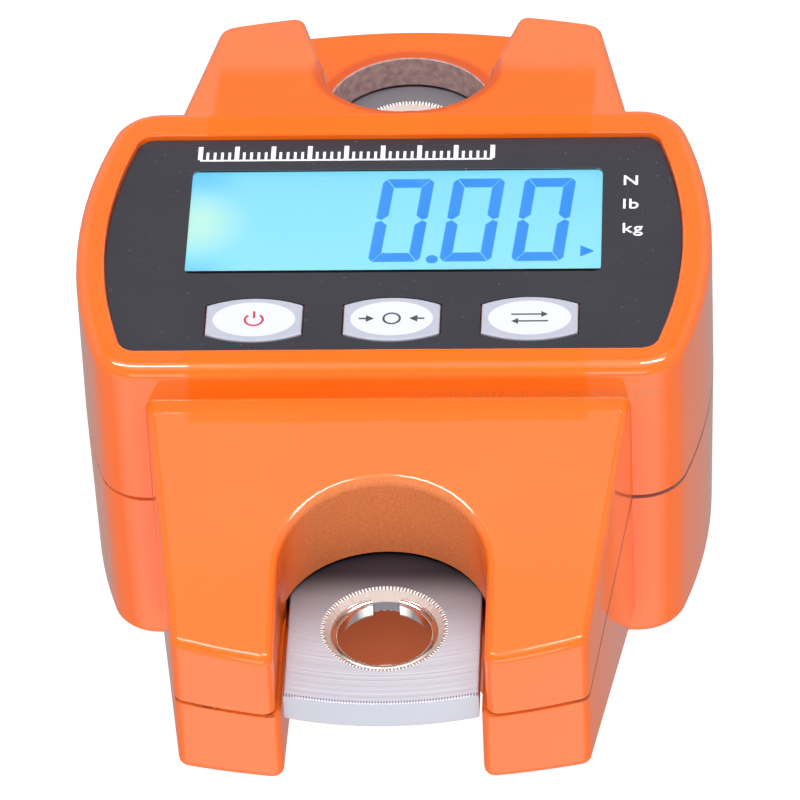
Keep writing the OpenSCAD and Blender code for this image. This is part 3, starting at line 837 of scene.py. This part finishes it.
# %% Ticks and unit symbols
def tick_row(x0, x1, y0, y1, count):
    """Upright ticks along a base line, every fifth one tall and wide."""
    step = (x1 - x0) / (count - 1)
    rows = [[(x0, y0), (x1, y0), (x1, y0 + 0.35), (x0, y0 + 0.35)]]
    for i in range(count):
        tall = i % 5 == 0
        half, top = (0.34, y1) if tall else (0.2, y0 + (y1 - y0) * 0.6)
        x = x0 + i * step
        foot = y0 + 0.36
        rows.append([(x - half, foot), (x + half, foot), (x + half, top), (x - half, top)])
    return rows


def letters(text, size, x, y, z, name):
    """Solid ink in the shape of a word, its left end at x and its base line at y."""
    curve = bpy.data.curves.new(name, "FONT")
    curve.body = text
    curve.size = size
    curve.space_character = 1.12
    curve.offset = 0.035
    curve.extrude = 0.015
    word = bpy.data.objects.new(name, curve)
    bpy.context.scene.collection.objects.link(word)
    ink = bmesh.new()
    ink.from_mesh(word.evaluated_get(bpy.context.evaluated_depsgraph_get()).to_mesh())
    bpy.data.objects.remove(word)
    bpy.data.curves.remove(curve)
    bmesh.ops.remove_doubles(ink, verts=ink.verts, dist=0.0005)
    bmesh.ops.recalc_face_normals(ink, faces=ink.faces)
    bmesh.ops.translate(ink, verts=ink.verts, vec=(x, y, z + 0.015))
    return finish_piece(ink, name, "case", print_white)


print_on(tick_row(-28.5, 13.5, 18.7, 22.1, 41), panel_top, "scale_ticks", "case",
         print_white)
for text, x, y in (("N", 32.2, 12.6), ("lb", 32.2, 7.2), ("kg", 32.2, 1.7)):
    letters(text, 3.1, x, y, panel_top, "unit_" + text)


# %% [markdown]
# ## Keys
# Each key is a soft plastic pad that fills its hole in the film. A light grey rim runs round a
# paler oval, and a plain sign on the oval tells what the key does: a power sign, a zero between two
# arrow heads for tare, and two opposite arrows for the change of unit. The pads and their print
# ride on the buttons, so they sink together.

# %% Keys
key_finish = new_material("key_grey", Roughness=0.42, Specular_IOR_Level=0.4)
shade(key_finish, "Base Color", blend(key_finish, noise(key_finish, 700.0),
                                      srgb(174, 177, 194), srgb(186, 189, 204)))
key_face_finish = new_material("key_pale", Base_Color=srgb(220, 222, 236), Roughness=0.4)


def bar(x0, y0, x1, y1, half):
    """A thin bar between two points."""
    along = Vector((x1 - x0, y1 - y0)).normalized() * half
    across = Vector((-along.y, along.x))
    return [(x0 + across.x, y0 + across.y), (x0 - across.x, y0 - across.y),
            (x1 - across.x, y1 - across.y), (x1 + across.x, y1 + across.y)]


def ring(cx, cy, r, half, start, stop, steps=24):
    return arc(cx, cy, r + half, start, stop, steps) + arc(cx, cy, r - half, stop, start, steps)


def head(x, y, size, way):
    """An arrow head; way is 1 to the right and -1 to the left."""
    return [(x, y - size), (x + way * size * 1.5, y), (x, y + size)]


signs = {
    "on_off": [ring(0, -0.1, 1.25, 0.17, 130, 410), bar(0, 0.25, 0, 1.75, 0.17)],
    "tare": [ring(0, 0, 1.15, 0.16, 1, 359), head(-3.6, 0, 0.75, 1), head(3.6, 0, 0.75, -1),
             bar(-4.6, 0, -3.6, 0, 0.16), bar(3.6, 0, 4.6, 0, 0.16)],
    "unit": [bar(-2.6, 0.75, 1.6, 0.75, 0.15), head(1.6, 0.75, 0.65, 1),
             bar(-1.6, -0.75, 2.6, -0.75, 0.15), head(-1.6, -0.75, 0.65, -1)],
}
for (key, sign), (x, y) in zip(signs.items(), key_places):
    lo, hi = box_mm("key_" + key)
    body = key + "_button"
    pad = prism(moved(key_outline(), x, y), lo.z + 3, hi.z)
    round_edges(pad, 0.3, 3, lambda e: at_height(e, hi.z))
    flange = prism(moved(key_outline(0.9), x, y), ceiling_z - 1.0, ceiling_z - 0.1)
    pad = join(pad, flange, drill(x, y, 1.7, lo.z, ceiling_z - 0.5))
    finish_piece(pad, "key_pad_" + key, body, key_finish, ["key_" + key])
    oval = [(x + 5.8 * px, y + 3.75 * py) for px, py in arc(0, 0, 1, 0, 352.5, 47)]
    print_on([oval], hi.z, "key_face_" + key, body, key_face_finish,
             thickness=0.015)
    ink = print_red if key == "on_off" else print_grey
    print_on([moved(outline, x, y) for outline in sign], hi.z + 0.015, "key_sign_" + key, body,
             ink, thickness=0.015)

# %% [markdown]
# ## Load cell
# The load cell is a flat bar of milled alloy steel. Fine lines from the cutter run over it in wide
# arcs round the middle of its curved end, where a row of small teeth marks the edge. Each eye has
# a countersink painted pale as painted light, with a ring of chatter marks at its rim that carry
# painted glints and painted shade. A painted shade greys the steel from the lower eye inwards,
# and by the body a painted reflection of its dark gap makes it darker still. The shape is drawn
# as an outline, sawn, drilled and deburred.

# %% Finish of the load cell
chatter = 108
steel = new_material("milled_steel", Metallic=0.45)
steel_x, steel_y, _ = xyz(steel, "Object")
from_middle = distance_to(steel, steel_x, steel_y, 0.0, y_at(plate_lo.y + plate_end_r))
sweep = add(steel, "ShaderNodeCombineXYZ", X=from_middle).outputs["Vector"]
lines = add(steel, "ShaderNodeTexNoise", Vector=sweep, Scale=3200.0, Detail=3.0).outputs["Fac"]
patches = calc(steel, "ADD", noise(steel, 45.0, 2.0), 0.4)
from_end = minus(steel, plate_end_r * MM, from_middle)
at_end = times(steel, fade_mm(steel, from_end, 0.7, 0.6), fade_mm(steel, from_end, 0.05, 0.15))
# Painted shade: the steel turns a darker grey from the lower eye inwards.
painted_shade_to_body = fade(steel, steel_y, y_at(-66.0), y_at(-51.0))
# Painted reflection: near the body the steel is coloured nearly black, mirroring the dark gap under
# the case.
painted_gap_reflection = times(steel, fade(steel, steel_y, y_at(-30.0), y_at(-44.0)),
                fade(steel, steel_y, y_at(-54.0), y_at(-47.5)))
steel_colour = blend(steel, times(steel, lines, patches), srgb(170, 171, 184), srgb(214, 216, 224))
# Layers over the milled colour: darker teeth at the end, the painted shade and the painted
# reflection of the gap.
steel_colour = layers(steel, steel_colour,
                (times(steel, at_end, stripes(steel, steel_x, 16000.0, 0.2)),
                 srgb(132, 128, 150)),
                (painted_shade_to_body, srgb(132, 130, 138)), (painted_gap_reflection, srgb(38, 36, 45)))
for eye_y in (-lower_eye_y, upper_eye_y):
    from_eye = distance_to(steel, steel_x, steel_y, 0.0, y_at(eye_y))
    # Painted light: the countersink cone is coloured pale cream.
    painted_light_on_cone = times(steel, fade_mm(steel, from_eye, sink_r, sink_r - 0.2),
                    fade_mm(steel, from_eye, eye_r + 0.02, eye_r + 0.1))
    around = calc(steel, "ARCTAN2", steel_x, minus(steel, steel_y, y_at(eye_y)))
    # The chatter marks at the countersink's rim alternate painted white glints and painted shade.
    chatter_marks_and_glints = stripes(steel, around, chatter, 0.2)
    rim = times(steel, fade_mm(steel, from_eye, sink_r + 0.2, sink_r + 0.1),
                fade_mm(steel, from_eye, sink_r - 0.4, sink_r - 0.3))
    steel_colour = layers(steel, steel_colour, (painted_light_on_cone, srgb(196, 182, 176)),
                    (times(steel, rim, chatter_marks_and_glints), srgb(250, 248, 244)),
                    (times(steel, rim, minus(steel, 1.0, chatter_marks_and_glints)), srgb(120, 108, 108)))
shade(steel, "Base Color", steel_colour)
shade(steel, "Roughness", fade(steel, lines, -0.6, 1.6))
bump(steel, lines, 0.2, 0.04 * MM)
print("steel ready")


# %% Load cell
def plate_shape():
    tip_y = -plate_lo.y
    turn = math.degrees(math.asin(plate_half_w / plate_end_r))
    lower = [(x, -y) for x, y in arc(0, tip_y - plate_end_r, plate_end_r, 90 + turn,
                                     90 - turn, 16)]
    return arc(0, upper_eye_y, plate_half_w, 0, 180, 32) + lower


def countersink(y, up):
    """A cone whose wide end has the small steps of a chattering cutter."""
    cone = bmesh.new()
    slope = (sink_r - eye_r) / sink_depth
    extra = 0.25
    bmesh.ops.create_cone(cone, cap_ends=True, segments=chatter, radius1=eye_r,
                          radius2=sink_r + extra * slope, depth=sink_depth + extra,
                          matrix=Matrix.Translation((0, y, 0)))
    every_other = [v for v in cone.verts if v.co.z > 0
                   and round(math.atan2(v.co.x, v.co.y - y) * chatter / math.tau) % 2]
    bmesh.ops.scale(cone, verts=every_other, vec=(0.966, 0.966, 1),
                    space=Matrix.Translation((0, -y, 0)))
    middle = plate_hi.z - sink_depth + (sink_depth + extra) / 2
    bmesh.ops.translate(cone, verts=cone.verts, vec=(0, 0, middle))
    if not up:
        bmesh.ops.rotate(cone, verts=cone.verts, cent=(0, y, split_z),
                         matrix=Matrix.Rotation(math.pi, 3, "Y"))
    return cone


slot_w = 2.4
slot_l = plate_half_w * 2 * 0.72
plate = prism(plate_shape(), plate_lo.z, plate_hi.z)
round_edges(plate, 0.35, 2, lambda e: at_height(e, plate_lo.z) or at_height(e, plate_hi.z))
saws = [block(*sorted((s * (plate_half_w + 5), s * (plate_half_w - slot_l))),
              s * 9 - slot_w / 2, s * 9 + slot_w / 2, plate_lo.z - 1, plate_hi.z + 1)
        for s in (-1, 1)]
drills = [drill(0, y, eye_r, below, above, 64) for y in (-lower_eye_y, upper_eye_y)]
drills += posts(clamp_places, clamp_hole_r, below, above)
sinks = [countersink(y, up) for y in (-lower_eye_y, upper_eye_y) for up in (True, False)]
plate = cut(plate, *saws, *drills, *sinks)
finish_piece(plate, "cell_plate", "case", steel, ["load_cell"])

# %% [markdown]
# ## Eye bushes
# Each eye is lined with a split ring of chromed steel. Its two lips are rolled into beads that
# stand in the countersinks. The profile of the ring is drawn once and spun about the eye, stopping
# short of a full turn to leave the split open on the side of the body.

# %% Bushes
chrome = new_material("bush_chrome", Metallic=1.0, Base_Color=srgb(226, 222, 220))
shade(chrome, "Roughness", fade(chrome, noise(chrome, 500.0), -0.3, 3.2))
half_split = 2.0
ring_r = 6.9


def bush(y, towards, name, node):
    """A ring whose split points towards +Y or -Y."""
    half_gap = math.degrees(math.asin(half_split / ring_r))
    lip = arc(7.02, 0.72, 0.62, 180, 60, 8) + arc(7.3, 1.2, 0.16, 60, -60, 3)
    upper = lip + [(6.99, 0.5)]
    profile = upper + [(r, -z) for r, z in reversed(upper)]
    bm = bmesh.new()
    face = bm.faces.new([bm.verts.new((r, 0, z)) for r, z in profile])
    bmesh.ops.spin(bm, geom=[face], cent=(0, 0, 0), axis=(0, 0, 1), steps=72,
                   angle=math.radians(360 - 2 * half_gap), use_duplicate=False)
    bmesh.ops.remove_doubles(bm, verts=bm.verts, dist=0.0005)
    bmesh.ops.recalc_face_normals(bm, faces=bm.faces)
    turn = (90 if towards > 0 else 270) + half_gap
    bmesh.ops.rotate(bm, verts=bm.verts, cent=(0, 0, 0),
                     matrix=Matrix.Rotation(math.radians(turn), 3, "Z"))
    bmesh.ops.translate(bm, verts=bm.verts, vec=(0, y, split_z))
    return finish_piece(bm, name, "case", chrome, [node], smooth=40)


bush(-lower_eye_y, 1, "lower_bush", "lower_eye_bush")
bush(upper_eye_y, -1, "upper_bush", "upper_eye_bush")

# %% [markdown]
# ## Battery cover
# The lid on the back is a plain moulded plate with a few grip ribs at its open end. It slides out
# over the lower edge of the case. The ribs are grooves cut into the plate.

# %% Battery cover
lid = block(cover_lo.x, cover_hi.x, cover_lo.y, cover_hi.y, cover_lo.z, cover_hi.z)
round_edges(lid, 0.35, 3, lambda e: at_height(e, cover_lo.z)
            or abs(e.verts[0].co.z - e.verts[1].co.z) > 0.5)
first_groove = cover_lo.y + 3
groove_pitch = 1.6
grooves = [block(-8, 8, y, y + groove_pitch / 2, -1, cover_lo.z + 0.5)
           for y in (first_groove + groove_pitch * k for k in range(5))]
lid = cut(lid, *grooves)
finish_piece(lid, "battery_lid", "battery_door", paint, ["battery_cover"])

# %% [markdown]
# ## Parts inside
# The frame's own meshes serve for what lies inside the case or behind the window. They keep their
# places and get only a finish. Board, chips, battery and leads are seen when the lid is off or
# through the gaps round the load cell.

# %% Finishes of the parts inside
white_plastic = new_material("white_plastic", Base_Color=srgb(226, 226, 222), Roughness=0.5)
black_plastic = new_material("black_plastic", Base_Color=srgb(34, 34, 36), Roughness=0.5)
shade(black_plastic, "Roughness", fade(black_plastic, noise(black_plastic, 1500.0), -1.0, 2.0))
light_block = new_material("light_block", Base_Color=srgb(200, 236, 250), Roughness=0.3,
                           Emission_Color=srgb(140, 220, 250), Emission_Strength=0.6)
board_green = new_material("board_green", Roughness=0.35)
shade(board_green, "Base Color", blend(board_green, noise(board_green, 400.0),
                                       srgb(18, 84, 44), srgb(34, 112, 60)))
pink_rubber = new_material("pink_rubber", Roughness=0.7)
carbon = stripes(pink_rubber, xyz(pink_rubber, "Object")[0], 8000.0, 0.4)
shade(pink_rubber, "Base Color", blend(pink_rubber, carbon, srgb(226, 170, 172),
                                       srgb(60, 50, 52)))
zinc = new_material("zinc_screw", Metallic=1.0, Base_Color=srgb(190, 190, 196), Roughness=0.35)
nickel = new_material("nickel_contact", Metallic=1.0, Base_Color=srgb(206, 200, 190),
                      Roughness=0.28)
foil = new_material("gauge_foil", Roughness=0.3)
tracks = stripes(foil, xyz(foil, "Object")[0], 12000.0, 0.3)
shade(foil, "Base Color", blend(foil, tracks, srgb(196, 140, 60), srgb(226, 190, 120)))
lead_white = new_material("white_lead", Base_Color=srgb(216, 216, 212), Roughness=0.5)
lead_red = new_material("red_lead", Base_Color=srgb(176, 34, 30), Roughness=0.45)
sleeve = new_material("cell_sleeve", Roughness=0.3)
band = fade_mm(sleeve, unsigned(sleeve, xyz(sleeve, "Object")[0]), 20.5, 21.2)
shade(sleeve, "Base Color", blend(sleeve, band, srgb(44, 84, 146), srgb(196, 196, 200)))

node_finish = {
    "lcd_frame": white_plastic, "lcd_glass": lit_glass, "lcd_segments": digit_finish,
    "backlight": light_block, "lcd_connector": pink_rubber, "main_board": board_green,
    "board_chips": black_plastic, "board_screws": zinc, "switch_bodies": black_plastic,
    "switch_plunger_on_off": black_plastic, "switch_plunger_tare": black_plastic,
    "switch_plunger_unit": black_plastic, "strain_gauges": foil, "gauge_cable": lead_white,
    "cell_clamp": zinc, "cell_screws": zinc, "case_screws": zinc, "battery_box": black_plastic,
    "battery_cells": sleeve, "battery_springs": nickel, "battery_plates": nickel,
    "battery_cable": lead_red,
}
for node, finish in node_finish.items():
    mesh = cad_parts[node].data
    mesh.materials.clear()
    mesh.materials.append(finish)
print("finishes on", len(node_finish), "frame parts")

# %% [markdown]
# ## Studio
# The scale lies on a plain pale floor that glows a little, like a light table, so its shadow is
# faint and the underside catches warm light. The floor shows in no reflection. The sky is a
# gradient by height: bright at 25 degrees, nearly black from 42 to 50 degrees, so that the panel
# stays dark, and bright overhead for the tops of the arms. A white card below the front edge shows
# only where glossy walls look down. Two narrow strips at the sides draw the highlights on the
# edges and light nothing else, a soft lamp overhead lights without a highlight, and a wide low box
# lights the front.

# %% Sky and floor
world = bpy.data.worlds.new("studio")
bpy.context.scene.world = world
world.use_nodes = True
_, sky_y, sky_z = xyz(world, "Generated")
sky = add(world, "ShaderNodeValToRGB", Fac=sky_z)
levels = [(0.0, 0.55), (0.15, 0.9), (0.42, 1.25), (0.56, 0.85), (0.61, 0.6), (0.64, 0.36),
          (0.67, 0.06), (0.76, 0.06), (0.86, 1.5), (1.0, 1.5)]
while len(sky.color_ramp.elements) < len(levels):
    sky.color_ramp.elements.new(1.0)
for element, (at, level) in zip(sky.color_ramp.elements, levels):
    element.position = at
    element.color = grey(level)
low_front = add(world, "ShaderNodeMapRange", Value=sky_y, From_Min=-0.2, From_Max=-0.6)
below_floor = add(world, "ShaderNodeMapRange", Value=sky_z, From_Min=0.0, From_Max=-0.4)
card = times(world, low_front.outputs["Result"], below_floor.outputs["Result"])
background = world.node_tree.nodes["Background"]
feed(world, blend(world, card, sky.outputs["Color"], grey(2.8)), background.inputs["Color"])
background.inputs["Strength"].default_value = 0.66
bpy.context.scene.view_settings.view_transform = "Standard"

floor_mesh = bmesh.new()
bmesh.ops.create_grid(floor_mesh, x_segments=1, y_segments=1, size=3.0)
floor = temporary(floor_mesh, "floor")
floor_paint = new_material("pale_floor", Base_Color=grey(0.12), Roughness=0.9,
                           Emission_Color=grey(1.0), Emission_Strength=0.96)
floor.data.materials.append(floor_paint)
floor.visible_glossy = False


# %% Soft boxes
def soft_box(name, azimuth, elevation, width, length, power, diffuse=True, glossy=True):
    """A lamp a metre from the scale, turned towards it; it may only fill or only shine."""
    lamp = bpy.data.lights.new(name, "AREA")
    lamp.shape = "RECTANGLE"
    lamp.size = width
    lamp.size_y = length
    lamp.energy = power
    obj = bpy.data.objects.new(name, lamp)
    bpy.context.scene.collection.objects.link(obj)
    turn = (Matrix.Rotation(math.radians(azimuth), 4, "Z")
            @ Matrix.Rotation(math.radians(90 - elevation), 4, "X"))
    obj.matrix_world = (Matrix.Translation((0, middle_y * MM, 0.025)) @ turn
                        @ Matrix.Translation((0, 0, 1.0)))
    obj.visible_diffuse = diffuse
    obj.visible_glossy = glossy
    print(name, [round(v, 3) for v in obj.location])


soft_box("left_strip", -88, 68, 0.18, 0.62, 9.0, diffuse=False)
soft_box("right_strip", 88, 68, 0.18, 0.62, 9.0, diffuse=False)
soft_box("top_fill", 0, 80, 0.5, 0.5, 7.4, glossy=False)
soft_box("front_box", 0, 14, 0.9, 0.3, 2.4)
